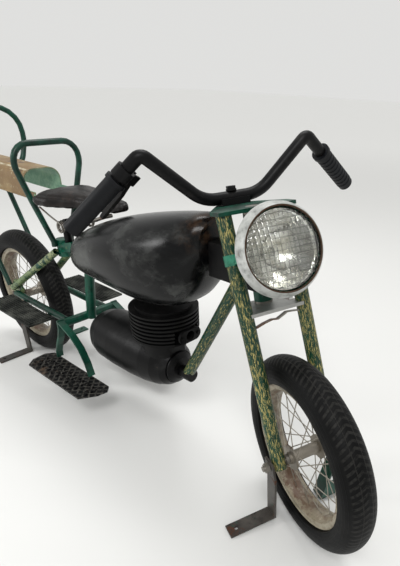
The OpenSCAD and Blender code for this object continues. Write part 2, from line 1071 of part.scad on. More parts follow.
module lever_perch() {
    color([0.06, 0.06, 0.06])
        on_fork()
            on_grip(-1)
                translate([0, 0, lever_z])
                    difference() {
                        union() {
                            translate([0, 0, -11])
                                cylinder(h = 22, r = bar_r + 5);
                            translate([8, -9, -11])
                                cube([lever_x + 2, 18, 22]);
                        }
                        translate([0, 0, -12])
                            cylinder(h = 24, r = bar_r + 0.1);
                        translate([lever_x - 9, -4.3, -12])
                            cube([30, 8.6, 24]);
                        translate([lever_x, 0, 0])
                            along_y(-10, 10, 3);
                    }
}

module brake_lever() {
    color([0.1, 0.1, 0.1])
        on_fork()
            on_grip(-1)
                translate([lever_x, 0, lever_z])
                    union() {
                        along_y(-9, 9, 2.95);
                        along_y(-4, 4, 7);
                        rotate([90, 0, 0])
                            translate([0, 0, -4])
                                linear_extrude(8)
                                    polygon([[-5, 2], [6, 2], [17, -40], [21, -98],
                                             [14, -102], [12, -96], [7, -40], [-3, -12]]);
                    }
}

module front_axle() {
    on_fork()
        axle_body(101, foot_y + plate_t + 1.5, leg_y - tube_r - 0.5);
}

module front_foot_right() {
    color([0.34, 0.3, 0.27])
        on_fork()
            mirrored(true)
                foot_body(foot_y, front_drop, front_lean, front_tuck, foot_w + 2);
}

module front_foot_left() {
    color([0.07, 0.3, 0.2])
        on_fork()
            foot_body(foot_y, front_drop_left, front_lean, front_tuck, foot_w + 2);
}

// ---- headlight, along the legs: X forward, origin on the tilt axis ----
module on_lamp() {
    on_fork()
        on_legs()
            translate([lamp_pivot_x, 0, lamp_s])
                children();
}

module lamp_turned(points) {
    rotate([0, 90, 0])
        rotate_extrude($fn = 96)
            polygon(points);
}

module lamp_ears() {
    color([0.3, 0.55, 0.4])
        on_lamp()
            for (s = [-1, 1]) {
                translate([-lamp_pivot_x, s * leg_y, -10])
                    difference() {
                        cylinder(h = 20, r = tube_r + 2.5);
                        translate([0, 0, -1])
                            cylinder(h = 22, r = tube_r + 0.05);
                    }
                translate([tube_r - lamp_pivot_x, s * 67.3 - 1.5, -8])
                    cube([lamp_pivot_x - tube_r, 3, 16]);
                along_y(min(s * 65.8, s * 68.8), max(s * 65.8, s * 68.8), 8);
                along_y(min(s * 55, s * 74), max(s * 55, s * 74), 4);
                along_y(min(s * 68, s * 73), max(s * 68, s * 73), 7);
            }
}

module lamp_shell() {
    color([0.25, 0.5, 0.36])
        on_lamp()
            difference() {
                union() {
                    lamp_turned([
                        [0, -20], [22, -19], [40, -14], [52, -6], [61, 5], [65, 10],
                        [76, 21], [79.5, 27], [79.5, 31], [77.5, 31], [77.5, 28], [74.5, 22.5],
                        [63.5, 11.5], [59, 6], [50, -4], [39, -12], [21, -17], [0, -18]
                    ]);
                    for (s = [-1, 1])
                        along_y(min(s * 54, s * 65.5), max(s * 54, s * 65.5), 7);
                }
                for (s = [-1, 1])
                    along_y(min(s * 40, s * 66), max(s * 40, s * 66), 4.06);
            }
}

module lamp_ring() {
    outer = lamp_r;
    color([0.8, 0.8, 0.78])
        on_lamp()
            union() {
                lamp_turned([
                    [79.8, 29], [82, 27], [outer - 1, 28], [outer, 31], [outer - 1, 36],
                    [outer - 4, 44], [outer - 8, 50.5], [outer - 9.5, 52], [outer - 10.7, 51],
                    [outer - 10.7, 46], [outer - 6.5, 38], [outer - 5, 33], [79.8, 31.5]
                ]);
                translate([36, 0, -outer - 2.6])
                    cylinder(h = 8, r = 3.6);
            }
}

module lamp_lens() {
    edge = lamp_r - 11;
    color([0.9, 0.9, 0.88])
        on_lamp()
            lamp_turned([
                [0, 59], [30, 57.5], [52, 54], [68, 50.5], [edge, 47], [edge, 42],
                [66, 46], [50, 50], [30, 53.5], [0, 55]
            ]);
}

// ---- wheels in place ----
module front_tyre() {
    on_fork()
        tyre_body();
}

module front_rim() {
    on_fork()
        rim_body();
}

module front_hub() {
    on_fork()
        hub_body();
}

module at_rear() {
    on_frame()
        translate([0, 0, wheel_r])
            children();
}

module rear_tyre() {
    at_rear()
        tyre_body();
}

module rear_rim() {
    at_rear()
        rim_body();
}

module rear_hub() {
    at_rear()
        hub_body();
}

head_tube();
head_box();
down_tube();
seat_tube();
seat_cluster();
seat_stay_right();
seat_stay_left();
chain_stay_right();
chain_stay_left();
cross_tube();
axle_plate_right();
axle_plate_left();
tank();
barrel();
exhaust_flange();
crankcase();
crankcase_nose();
footrest_hangers_right();
footrest_hangers_left();
footrest_plate_right();
footrest_plate_left();
rear_board_right();
rear_board_left();
front_hoop();
rear_hoop();
pillion_seat();
rear_strut_right();
rear_strut_left();
rear_axle();
rear_foot_right();
rear_foot_left();
saddle_post();
saddle_rails();
saddle_springs();
saddle_cover();
steering_stem();
top_plate();
lower_yoke();
fork_leg_right();
fork_leg_left();
fork_stay();
handlebar();
bar_clamp();
grip_right();
grip_left();
lever_perch();
brake_lever();
front_axle();
front_foot_right();
front_foot_left();
lamp_ears();
lamp_shell();
lamp_ring();
lamp_lens();
front_tyre();
front_rim();
front_hub();
rear_tyre();
rear_rim();
rear_hub();
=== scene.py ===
"""Fairground ride motorcycle: materials, detailed pieces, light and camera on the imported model."""
import math

import bmesh
import bpy
from mathutils import Matrix, Vector, noise


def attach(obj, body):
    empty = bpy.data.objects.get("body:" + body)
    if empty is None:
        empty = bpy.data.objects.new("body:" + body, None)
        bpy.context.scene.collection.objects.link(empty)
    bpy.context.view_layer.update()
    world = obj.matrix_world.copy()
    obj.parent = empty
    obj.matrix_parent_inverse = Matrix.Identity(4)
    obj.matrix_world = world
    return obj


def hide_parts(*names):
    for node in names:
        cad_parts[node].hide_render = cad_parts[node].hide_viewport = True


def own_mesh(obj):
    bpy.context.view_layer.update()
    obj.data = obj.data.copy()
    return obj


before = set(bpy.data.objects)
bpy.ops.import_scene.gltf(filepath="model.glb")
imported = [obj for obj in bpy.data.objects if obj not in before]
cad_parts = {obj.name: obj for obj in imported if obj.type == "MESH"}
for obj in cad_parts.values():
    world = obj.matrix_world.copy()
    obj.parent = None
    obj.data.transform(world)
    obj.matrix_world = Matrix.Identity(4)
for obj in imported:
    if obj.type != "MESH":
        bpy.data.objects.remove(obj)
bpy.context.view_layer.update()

MM = 0.001
# the point of the floor under the rear axle's middle, in metres
ORIGIN = Vector((-0.589, -0.055, 0.0))

# millimetres and degrees, as the solids were drawn
WHEELBASE = 1203
REAR_AXLE_Z = 215
FRONT_AXLE_Z = 216.6
# a point of the steering axis, from the front axle
HEAD_X = -173
HEAD_Z = 285
HEAD_RAKE = 11.5
LEG_RAKE = 23.2
STEER_REST = 24.5
DOWN_TUBE_RAKE = 29.7
# the headlight's pivot, forward of the legs and along them
LAMP_X = 40
LAMP_Z = 420.5
# faces that meet at more than this keep a sharp edge
CORNER_ANGLE = 50


def turn(axis, degrees):
    return Matrix.Rotation(math.radians(degrees), 4, axis)


def shift(x, y, z):
    return Matrix.Translation(Vector((x, y, z)) * MM)


# places that details are drawn from: rear wheel, fork at rest, its legs and its lamp
REAR = Matrix.Translation(ORIGIN) @ shift(0, 0, REAR_AXLE_Z)
FORK = (Matrix.Translation(ORIGIN) @ shift(WHEELBASE, 0, FRONT_AXLE_Z) @ shift(HEAD_X, 0, HEAD_Z)
        @ turn("Y", -HEAD_RAKE) @ turn("Z", -STEER_REST) @ turn("Y", HEAD_RAKE)
        @ shift(-HEAD_X, 0, -HEAD_Z))
LEGS = FORK @ turn("Y", -LEG_RAKE)
LAMP = LEGS @ shift(LAMP_X, 0, LAMP_Z)


# ---- materials ----
class Shader:
    """A small builder of procedural materials on the Principled shader."""

    def __init__(self, name, local=None, **sockets):
        self.mat = bpy.data.materials.new(name)
        self.mat.use_nodes = True
        self.tree = self.mat.node_tree
        self.bsdf = self.tree.nodes["Principled BSDF"]
        self.coords = self.tree.nodes.new("ShaderNodeTexCoord").outputs["Object"]
        if local is not None:
            node = self.tree.nodes.new("ShaderNodeMapping")
            node.vector_type = "TEXTURE"
            node.inputs["Location"].default_value = local.to_translation()
            node.inputs["Rotation"].default_value = local.to_euler()
            self.tree.links.new(self.coords, node.inputs["Vector"])
            self.coords = node.outputs["Vector"]
        for key, value in sockets.items():
            self.bsdf.inputs[key.replace("_", " ")].default_value = value

    def link(self, source, target):
        if hasattr(source, "links"):
            self.tree.links.new(source, target)
        else:
            target.default_value = source

    def place(self, scale, move=(0, 0, 0)):
        node = self.tree.nodes.new("ShaderNodeMapping")
        node.inputs["Scale"].default_value = scale
        node.inputs["Location"].default_value = move
        self.tree.links.new(self.coords, node.inputs["Vector"])
        return node.outputs["Vector"]

    def noise(self, scale, detail=5.0, rough=0.6, stretch=(1, 1, 1), move=(0, 0, 0), warp=0.0):
        node = self.tree.nodes.new("ShaderNodeTexNoise")
        self.link(self.place(stretch, move), node.inputs["Vector"])
        node.inputs["Scale"].default_value = scale
        node.inputs["Detail"].default_value = detail
        node.inputs["Roughness"].default_value = rough
        node.inputs["Distortion"].default_value = warp
        return node.outputs["Fac"]

    def cells(self, scale):
        node = self.tree.nodes.new("ShaderNodeTexVoronoi")
        self.link(self.place((1, 1, 1)), node.inputs["Vector"])
        node.inputs["Scale"].default_value = scale
        return node.outputs["Distance"]

    def stripes(self, scale, stretch):
        """Slanted bands, from 0 to 1 and back."""
        node = self.tree.nodes.new("ShaderNodeTexWave")
        node.bands_direction = "DIAGONAL"
        self.link(self.place(stretch), node.inputs["Vector"])
        node.inputs["Scale"].default_value = scale
        return node.outputs["Fac"]

    def axis(self, name):
        node = self.tree.nodes.new("ShaderNodeSeparateXYZ")
        self.tree.links.new(self.coords, node.inputs["Vector"])
        return node.outputs[name]

    def radius(self, a, b):
        """Distance from the third axis, in metres."""
        squares = [self.calc("MULTIPLY", value, value) for value in (self.axis(a), self.axis(b))]
        return self.calc("SQRT", self.calc("ADD", *squares))

    def facing(self, name):
        """How far the surface faces along an axis, from -1 to 1."""
        node = self.tree.nodes.new("ShaderNodeSeparateXYZ")
        geometry = self.tree.nodes.new("ShaderNodeNewGeometry")
        self.tree.links.new(geometry.outputs["Normal"], node.inputs["Vector"])
        return node.outputs[name]

    def calc(self, kind, a, b=0.0):
        node = self.tree.nodes.new("ShaderNodeMath")
        node.operation = kind
        self.link(a, node.inputs[0])
        self.link(b, node.inputs[1])
        return node.outputs[0]

    def step(self, value, low, high):
        """0 below low, 1 above high; low may be the larger to turn it round."""
        node = self.tree.nodes.new("ShaderNodeMapRange")
        node.interpolation_type = "SMOOTHSTEP"
        self.link(value, node.inputs["Value"])
        node.inputs["From Min"].default_value = low
        node.inputs["From Max"].default_value = high
        return node.outputs["Result"]

    def range(self, value, low, high):
        node = self.tree.nodes.new("ShaderNodeMapRange")
        self.link(value, node.inputs["Value"])
        node.inputs["To Min"].default_value = low
        node.inputs["To Max"].default_value = high
        return node.outputs["Result"]

    def mix(self, amount, a, b):
        node = self.tree.nodes.new("ShaderNodeMix")
        node.data_type = "RGBA"
        self.link(amount, node.inputs["Factor"])
        for value, socket in ((a, node.inputs["A"]), (b, node.inputs["B"])):
            self.link(value if hasattr(value, "links") else (*value, 1.0), socket)
        return node.outputs["Result"]

    def finish(self, color, rough=None, height=None, strength=0.3, distance=0.001, metal=None):
        self.link(color, self.bsdf.inputs["Base Color"])
        if rough is not None:
            self.link(rough, self.bsdf.inputs["Roughness"])
        if metal is not None:
            self.link(metal, self.bsdf.inputs["Metallic"])
        if height is not None:
            bump = self.tree.nodes.new("ShaderNodeBump")
            bump.inputs["Strength"].default_value = strength
            bump.inputs["Distance"].default_value = distance
            self.tree.links.new(height, bump.inputs["Height"])
            self.tree.links.new(bump.outputs["Normal"], self.bsdf.inputs["Normal"])
        return self.mat


RUST = (0.07, 0.028, 0.014)
CREAM = (0.42, 0.35, 0.12)


def dark(color, share):
    return tuple(c * share for c in color)


def worn_paint(name, top, light, under, wear=0.6, streak=(1, 1, 1), gloss=0.3, rust=0.62, seed=0.0,
               local=None, fine_scale=42):
    """Brushed enamel over an older coat, chipped through to it and to rust."""
    s = Shader(name, local, Coat_Weight=0.06, Coat_Roughness=0.18, Specular_IOR_Level=0.3)
    move = (seed, seed * 1.7, seed * 0.6)
    broad = s.noise(7, 4, 0.55, streak, move)
    fine = s.noise(fine_scale, 8, 0.72, streak, move)
    flakes = s.calc("ADD", s.noise(fine_scale * 1.2, 10, 0.78, streak, move, warp=0.3),
                    s.range(broad, -0.09, 0.09))
    coat = s.mix(s.step(broad, 0.42, 0.68), top, light)
    coat = s.mix(s.step(fine, 0.3, 0.6), dark(top, 0.45), coat)
    chips = s.step(flakes, wear, wear + 0.03)
    worn = s.mix(s.step(fine, 0.4, 0.62), under, dark(under, 0.5))
    color = s.mix(chips, coat, worn)
    bare = s.step(s.noise(31, 9, 0.72, (1, 1, 1), move), rust, rust + 0.05)
    color = s.mix(bare, color, RUST)
    rough = s.calc("ADD", s.range(fine, gloss, gloss + 0.2), s.calc("MULTIPLY", bare, 0.3))
    height = s.calc("SUBTRACT", s.range(fine, 0, 0.25), s.calc("MULTIPLY", chips, 0.7))
    height = s.calc("SUBTRACT", height, s.calc("MULTIPLY", bare, 0.4))
    return s.finish(color, rough, height, 0.35, 0.0006)


def metal_dull(name, color, rust=0.5, rough=0.42):
    s = Shader(name)
    fine = s.noise(60, 8, 0.7)
    stains = s.step(s.noise(18, 6, 0.6), rust, rust + 0.12)
    tint = s.mix(s.range(fine, 0, 0.6), color, dark(color, 0.5))
    tint = s.mix(stains, tint, (0.09, 0.042, 0.022))
    shine = s.calc("SUBTRACT", 0.9, s.calc("MULTIPLY", stains, 0.8))
    return s.finish(tint, s.range(fine, rough - 0.08, rough + 0.2), fine, 0.25, 0.0005, metal=shine)


def tank_enamel():
    """Glossy black enamel with wavy grey strokes, browned near the head; its whitish patches are
    dust mixed with a painted sheen that stands in for soft highlights.
    """
    s = Shader("tank_enamel", IOR=1.3, Specular_IOR_Level=0.4)
    sweep = s.noise(7, 7, 0.68, (0.6, 2.0, 2.4), warp=0.9)
    dust = s.noise(90, 6, 0.7, (0.5, 1, 1))
    # whitish patches: partly dust, partly a painted sheen standing in for the tank's soft highlights
    dust_haze_and_sheen = s.step(s.noise(5.5, 6, 0.62, (1, 1.2, 1.4), (3, 1, 2), warp=0.15), 0.48, 0.7)
    color = s.mix(s.step(sweep, 0.5, 0.8), (0.0015, 0.0017, 0.002), (0.016, 0.017, 0.0165))
    color = s.mix(s.calc("MULTIPLY", dust_haze_and_sheen, s.range(dust, 0.0, 0.5)), color, (0.26, 0.27, 0.255))
    front = s.step(s.axis("X"), 0.245, 0.3)
    high = s.step(s.axis("Z"), 0.56, 0.63)
    brown = s.calc("MULTIPLY", s.calc("MULTIPLY", front, high),
                   s.step(s.noise(26, 8, 0.7), 0.42, 0.62))
    color = s.mix(s.calc("MULTIPLY", brown, 0.7), color, (0.05, 0.027, 0.015))
    chips = s.step(s.noise(75, 8, 0.75, (0.7, 1, 1)), 0.74, 0.76)
    color = s.mix(chips, color, (0.3, 0.29, 0.26))
    rough = s.calc("ADD", s.range(sweep, 0.14, 0.3), s.calc("MULTIPLY", dust_haze_and_sheen, 0.2))
    height = s.calc("ADD", s.range(dust, 0, 0.1), s.noise(12, 3, 0.5))
    return s.finish(color, rough, height, 0.2, 0.0012)


def black_enamel(name, base=(0.0022, 0.0022, 0.0025), worn=(0.02, 0.019, 0.017), rough=0.3):
    s = Shader(name, IOR=1.3, Specular_IOR_Level=0.35)
    fine = s.noise(70, 8, 0.7)
    color = s.mix(s.step(s.noise(12, 6, 0.65), 0.5, 0.78), base, worn)
    chips = s.step(s.noise(48, 9, 0.75), 0.69, 0.72)
    color = s.mix(chips, color, (0.12, 0.08, 0.05))
    return s.finish(color, s.range(fine, rough, rough + 0.25), fine, 0.3, 0.0006)


def plate_tread():
    """Black footrest sheet with a fine diamond pattern."""
    s = Shader("footrest_tread", Specular_IOR_Level=0.22)
    fine = s.noise(80, 8, 0.7)
    one_way, other_way = [s.step(s.stripes(26, (1, side, 0.001)), 0.75, 0.95) for side in (1, -1)]
    ridge = s.calc("MAXIMUM", one_way, other_way)
    color = s.mix(s.calc("MULTIPLY", ridge, s.step(fine, 0.35, 0.65)), (0.0025, 0.0025, 0.003),
                  (0.09, 0.085, 0.075))
    color = s.mix(s.step(s.noise(14, 7, 0.7), 0.6, 0.7), color, (0.09, 0.06, 0.04))
    height = s.calc("ADD", ridge, s.range(fine, 0, 0.3))
    return s.finish(color, s.range(fine, 0.35, 0.6), height, 0.5, 0.0012)


def rubber(name, base, dust, rough=0.55, amount=0.5):
    s = Shader(name, Specular_IOR_Level=0.2)
    broad = s.noise(16, 6, 0.6)
    fine = s.noise(120, 6, 0.7)
    color = s.mix(s.calc("MULTIPLY", s.step(broad, 0.4, 0.7), amount), base, dust)
    color = s.mix(s.range(fine, 0, 0.5), color, dark(base, 0.6))
    return s.finish(color, s.range(broad, rough, rough + 0.25), fine, 0.2, 0.0005)


# slanted bars around each side of a tyre
TREAD_BARS = 96.0


def tyre_rubber(name, wheel):
    """Black tyre: slanted bars on the crown, moulded rings on the wall, dusty grooves."""
    s = Shader(name, wheel, Specular_IOR_Level=0.12)
    radius = s.radius("X", "Z")
    angle = s.calc("ARCTAN2", s.axis("Z"), s.axis("X"))
    side = s.calc("ABSOLUTE", s.axis("Y"))
    slant = s.calc("ADD", s.calc("MULTIPLY", angle, TREAD_BARS), s.calc("MULTIPLY", side, 260.0))
    bars = s.calc("SINE", slant)
    crown = s.calc("MULTIPLY", s.step(radius, 0.1985, 0.2015), s.step(side, 0.029, 0.024))
    groove = s.step(s.calc("ABSOLUTE", s.calc("SUBTRACT", side, 0.0105)), 0.0014, 0.0006)
    block = s.calc("SUBTRACT", s.step(bars, -0.45, 0.0), groove)
    rings = s.step(s.calc("SINE", s.calc("MULTIPLY", radius, 900.0)), 0.8, 1.0)
    wall = s.calc("MULTIPLY", s.calc("SUBTRACT", 1.0, crown), s.calc("MULTIPLY", rings, 0.35))
    height = s.calc("ADD", s.calc("MULTIPLY", crown, block), wall)
    fine = s.noise(110, 6, 0.7)
    color = s.mix(s.step(s.noise(14, 6, 0.62), 0.45, 0.75), (0.0014, 0.0015, 0.0016),
                  (0.006, 0.006, 0.0058))
    low = s.calc("MULTIPLY", crown, s.calc("SUBTRACT", 1.0, block))
    color = s.mix(s.calc("MULTIPLY", low, s.step(fine, 0.35, 0.6)), color, (0.018, 0.0175, 0.016))
    height = s.calc("ADD", height, s.range(fine, 0, 0.08))
    return s.finish(color, s.range(fine, 0.42, 0.66), height, 0.6, 0.002)


def rusty_rim(name, wheel):
    """Beige rim, rusty in the well and in patches."""
    s = Shader(name, wheel, Coat_Weight=0.1, Coat_Roughness=0.3)
    radius = s.radius("X", "Z")
    fine = s.noise(52, 9, 0.74)
    broad = s.noise(11, 6, 0.62)
    color = s.mix(s.step(fine, 0.32, 0.68), (0.2, 0.165, 0.11), (0.42, 0.385, 0.29))
    inner = s.step(radius, 0.15, 0.139)
    damp = s.calc("ADD", fine, s.calc("MULTIPLY", inner, 0.16))
    stain = s.calc("MULTIPLY", s.step(damp, 0.5, 0.66), s.step(broad, 0.36, 0.56))
    color = s.mix(stain, color, (0.1, 0.052, 0.026))
    spots = s.step(s.noise(90, 8, 0.75), 0.62, 0.68)
    color = s.mix(spots, color, (0.05, 0.025, 0.014))
    return s.finish(color, s.range(fine, 0.35, 0.65), fine, 0.4, 0.0006)


def seat_paint():
    """Brown-gold sheet with pressed lines, mint on the inside."""
    s = Shader("ochre_seat", Coat_Weight=0.1, Coat_Roughness=0.3)
    across = s.calc("SUBTRACT", s.axis("Y"), ORIGIN.y)
    rise = s.calc("SUBTRACT", s.axis("Z"), 0.605)
    outward = s.calc("ADD", s.calc("MULTIPLY", s.facing("Y"), across),
                     s.calc("MULTIPLY", s.facing("Z"), rise))
    fine = s.noise(46, 9, 0.75)
    broad = s.noise(9, 5, 0.6)
    outside = s.mix(s.step(broad, 0.4, 0.66), (0.17, 0.1, 0.035), (0.3, 0.21, 0.09))
    outside = s.mix(s.step(fine, 0.56, 0.66), outside, (0.42, 0.38, 0.24))
    outside = s.mix(s.step(s.noise(24, 9, 0.7), 0.58, 0.66), outside, (0.07, 0.035, 0.018))
    inside = s.mix(s.step(fine, 0.4, 0.62), (0.11, 0.26, 0.17), (0.24, 0.4, 0.27))
    color = s.mix(s.step(outward, 0.002, -0.002), outside, inside)
    from_line = s.calc("SUBTRACT", s.calc("ABSOLUTE", across), 0.036)
    bead = s.step(s.calc("ABSOLUTE", from_line), 0.004, 0.001)
    color = s.mix(s.calc("MULTIPLY", bead, s.step(fine, 0.4, 0.6)), color, (0.46, 0.42, 0.3))
    height = s.calc("ADD", s.range(fine, 0, 0.3), bead)
    return s.finish(color, s.range(fine, 0.4, 0.7), height, 0.45, 0.0016)


def fluted_glass():
    """Headlight glass: upright flutes crossed by fine steps, dusty, with painted shade along the
    flute edges.
    """
    s = Shader("fluted_glass", LAMP, Transmission_Weight=1.0, IOR=1.45)
    across, along = [s.calc("ABSOLUTE", s.calc("SINE", s.calc("MULTIPLY", s.axis(name), pitch)))
                     for name, pitch in (("Y", 360.0), ("Z", 300.0))]
    # painted shade: dark lines where the flutes and steps meet, standing in for the glass's
    # refraction
    flute_edge_shade = s.step(s.calc("MINIMUM", across, along), 0.3, 0.08)
    dirt = s.noise(26, 7, 0.68)
    color = s.mix(s.step(dirt, 0.48, 0.72), (0.97, 0.98, 0.96), (0.8, 0.79, 0.7))
    color = s.mix(s.calc("MULTIPLY", flute_edge_shade, 0.6), color, (0.2, 0.21, 0.2))
    height = s.calc("ADD", across, s.calc("MULTIPLY", along, 0.6))
    return s.finish(color, s.range(dirt, 0.02, 0.16), height, 0.45, 0.002)


def reflector_metal():
    s = Shader("reflector_metal", LAMP, Metallic=0.95)
    fine = s.noise(40, 7, 0.7)
    color = s.mix(s.step(fine, 0.4, 0.68), (0.86, 0.86, 0.84), (0.5, 0.48, 0.42))
    return s.finish(color, s.range(fine, 0.06, 0.22), fine, 0.08, 0.0006)


def creased_leather():
    s = Shader("saddle_leather", Specular_IOR_Level=0.25)
    folds = s.noise(9, 7, 0.62, (1.2, 2.6, 1.6), warp=1.6)
    grain = s.cells(260)
    worn = s.noise(20, 7, 0.68)
    color = s.mix(s.step(folds, 0.38, 0.68), (0.003, 0.0022, 0.002), (0.012, 0.008, 0.0065))
    rubbed = s.calc("MULTIPLY", s.step(worn, 0.56, 0.72), s.step(s.facing("Z"), 0.2, 0.9))
    color = s.mix(rubbed, color, (0.03, 0.019, 0.014))
    height = s.calc("ADD", folds, s.calc("MULTIPLY", grain, 0.12))
    return s.finish(color, s.range(worn, 0.3, 0.55), height, 0.6, 0.004)


GREEN = (0.002, 0.048, 0.028)

mats = {
    "green": worn_paint(
        "green_frame", GREEN, (0.004, 0.095, 0.055), CREAM, wear=0.66, rust=0.66),
    "green_dark": worn_paint(
        "green_dark", (0.0015, 0.022, 0.014), (0.003, 0.06, 0.035), (0.1, 0.13, 0.07),
        wear=0.67, rust=0.66, seed=3.0),
    "streaked": worn_paint(
        "leg_streaks", (0.002, 0.034, 0.019), (0.005, 0.075, 0.037), CREAM, wear=0.515,
        streak=(2, 2, 0.4), rust=0.64, seed=1.3, local=LEGS, fine_scale=150),
    "streaked_tube": worn_paint(
        "down_tube_streaks", (0.002, 0.036, 0.02), (0.006, 0.08, 0.04), CREAM, wear=0.53,
        streak=(2.2, 2.2, 0.45), rust=0.65, seed=2.9,
        local=Matrix.Translation(ORIGIN) @ turn("Y", DOWN_TUBE_RAKE), fine_scale=140),
    "cream": worn_paint(
        "cream_over_green", (0.16, 0.23, 0.1), (0.33, 0.36, 0.19), GREEN, wear=0.51,
        rust=0.62, seed=2.2),
    "teal": worn_paint(
        "lamp_shell_teal", (0.01, 0.14, 0.08), (0.06, 0.28, 0.18), (0.4, 0.42, 0.32), wear=0.62,
        seed=4.1),
    "bracket": worn_paint(
        "bracket_grey", (0.035, 0.031, 0.027), (0.075, 0.066, 0.057), (0.02, 0.07, 0.045),
        wear=0.6, gloss=0.4, rust=0.58, seed=7.7),
    "ring": worn_paint(
        "lamp_ring_grey", (0.4, 0.41, 0.39), (0.55, 0.56, 0.54), (0.2, 0.15, 0.1), wear=0.63,
        gloss=0.2, rust=0.69, seed=8.8, local=LAMP),
    "ochre": seat_paint(),
    "tank": tank_enamel(),
    "black": black_enamel("black_enamel"),
    "engine": black_enamel("engine_black", (0.0018, 0.0018, 0.002), (0.022, 0.022, 0.022), 0.26),
    "fins": black_enamel("fins_black", (0.0018, 0.0018, 0.0018), (0.014, 0.013, 0.012), 0.45),
    "tread": plate_tread(),
    "steel": metal_dull("worn_steel", (0.3, 0.28, 0.25)),
    "spokes": metal_dull("spoke_steel", (0.36, 0.33, 0.28), rust=0.56, rough=0.45),
    "yoke": metal_dull("yoke_steel", (0.45, 0.45, 0.43), rust=0.6, rough=0.42),
    "grip": rubber("grip_rubber", (0.003, 0.0035, 0.0048), (0.009, 0.011, 0.014), 0.35, 0.8),
    "mat": rubber("mat_rubber", (0.012, 0.014, 0.012), (0.15, 0.155, 0.135), 0.6, 0.8),
    "front_tyre": tyre_rubber("front_tyre_rubber", FORK),
    "rear_tyre": tyre_rubber("rear_tyre_rubber", REAR),
    "front_rim": rusty_rim("front_rim_rust", FORK),
    "rear_rim": rusty_rim("rear_rim_rust", REAR),
    "leather": creased_leather(),
    "gasket": rubber("gasket_rubber", (0.05, 0.028, 0.016), (0.09, 0.06, 0.04), 0.6, 0.7),
    "glass": fluted_glass(),
    "mirror": reflector_metal(),
}

USES = {
    "streaked_tube": ["down_tube"],
    "green": ["head_tube", "seat_tube", "seat_cluster", "cross_tube", "front_foot_left",
              "rear_foot_left", "footrest_hangers_right", "footrest_hangers_left"],
    "green_dark": ["top_plate", "front_hoop", "rear_hoop", "rear_strut_right", "rear_strut_left",
                   "chain_stay_right", "chain_stay_left"],
    "streaked": ["fork_leg_right", "fork_leg_left"],
    "cream": ["seat_stay_right", "seat_stay_left", "axle_plate_right", "axle_plate_left"],
    "teal": ["lamp_shell", "lamp_ears"],
    "ochre": ["pillion_seat"],
    "front_rim": ["front_rim"],
    "rear_rim": ["rear_rim"],
    "front_tyre": ["front_tyre"],
    "rear_tyre": ["rear_tyre"],
    "tread": ["footrest_plate_right", "footrest_plate_left"],
    "bracket": ["front_foot_right", "rear_foot_right"],
    "ring": ["lamp_ring"],
    "tank": ["tank"],
    "black": ["head_box", "bar_clamp", "lever_perch", "brake_lever", "handlebar", "saddle_post"],
    "engine": ["crankcase", "crankcase_nose"],
    "fins": ["barrel", "exhaust_flange"],
    "steel": ["steering_stem", "front_axle", "rear_axle", "saddle_rails", "fork_stay"],
    "spokes": ["front_hub", "rear_hub"],
    "yoke": ["lower_yoke"],
    "grip": ["grip_right", "grip_left"],
    "mat": ["rear_board_right", "rear_board_left"],
    "glass": ["lamp_lens"],
}


def node_object(name):
    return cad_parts[name]


def dress(obj, mat):
    obj.data.materials.clear()
    obj.data.materials.append(mat)


for key, names in USES.items():
    for name in names:
        dress(node_object(name), mats[key])


def smoothing():
    """Node group that shades a faceted CAD skin smooth and keeps its corners."""
    group = bpy.data.node_groups.new("smooth_skin", "GeometryNodeTree")
    group.interface.new_socket("Geometry", in_out="INPUT", socket_type="NodeSocketGeometry")
    group.interface.new_socket("Geometry", in_out="OUTPUT", socket_type="NodeSocketGeometry")
    source = group.nodes.new("NodeGroupInput")
    merge = group.nodes.new("GeometryNodeMergeByDistance")
    merge.inputs["Distance"].default_value = 0.00002
    drop = group.nodes.new("GeometryNodeRemoveAttribute")
    drop.inputs["Name"].default_value = "custom_normal"
    faces = group.nodes.new("GeometryNodeSetShadeSmooth")
    edges = group.nodes.new("GeometryNodeSetShadeSmooth")
    edges.domain = "EDGE"
    edges.inputs["Shade Smooth"].default_value = False
    angle = group.nodes.new("GeometryNodeInputMeshEdgeAngle")
    compare = group.nodes.new("FunctionNodeCompare")
    compare.inputs[1].default_value = math.radians(CORNER_ANGLE)
    result = group.nodes.new("NodeGroupOutput")
    group.links.new(source.outputs[0], merge.inputs["Geometry"])
    group.links.new(merge.outputs["Geometry"], drop.inputs["Geometry"])
    group.links.new(drop.outputs["Geometry"], faces.inputs["Geometry"])
    group.links.new(faces.outputs["Geometry"], edges.inputs["Geometry"])
    group.links.new(angle.outputs["Unsigned Angle"], compare.inputs[0])
    group.links.new(compare.outputs["Result"], edges.inputs["Selection"])
    group.links.new(edges.outputs["Geometry"], result.inputs[0])
    return group


smooth_skin = smoothing()
for name in ("tank", "front_hoop", "rear_hoop", "handlebar"):
    node_object(name).modifiers.new("smooth_skin", "NODES").node_group = smooth_skin


# ---- pieces drawn in more detail than the solids ----
def new_piece(name, verts, faces, mat):
    mesh = bpy.data.meshes.new(name)
    mesh.from_pydata([tuple(v) for v in verts], [], faces)
    mesh.validate()
    work = bmesh.new()
    work.from_mesh(mesh)
    bmesh.ops.recalc_face_normals(work, faces=work.faces)
    work.to_mesh(mesh)
    work.free()
    mesh.polygons.foreach_set("use_smooth", [True] * len(mesh.polygons))
    obj = bpy.data.objects.new(name, mesh)
    bpy.context.collection.objects.link(obj)
    dress(obj, mat)
    return obj


def ring_faces(rings, count, closed_ends=True):
    faces = []
    for low in range(0, (rings - 1) * count, count):
        for k in range(count):
            after = (k + 1) % count
            faces.append((low + k, low + after, low + count + after, low + count + k))
    if closed_ends:
        faces.append(tuple(range(count)))
        faces.append(tuple((rings - 1) * count + k for k in reversed(range(count))))
    return faces


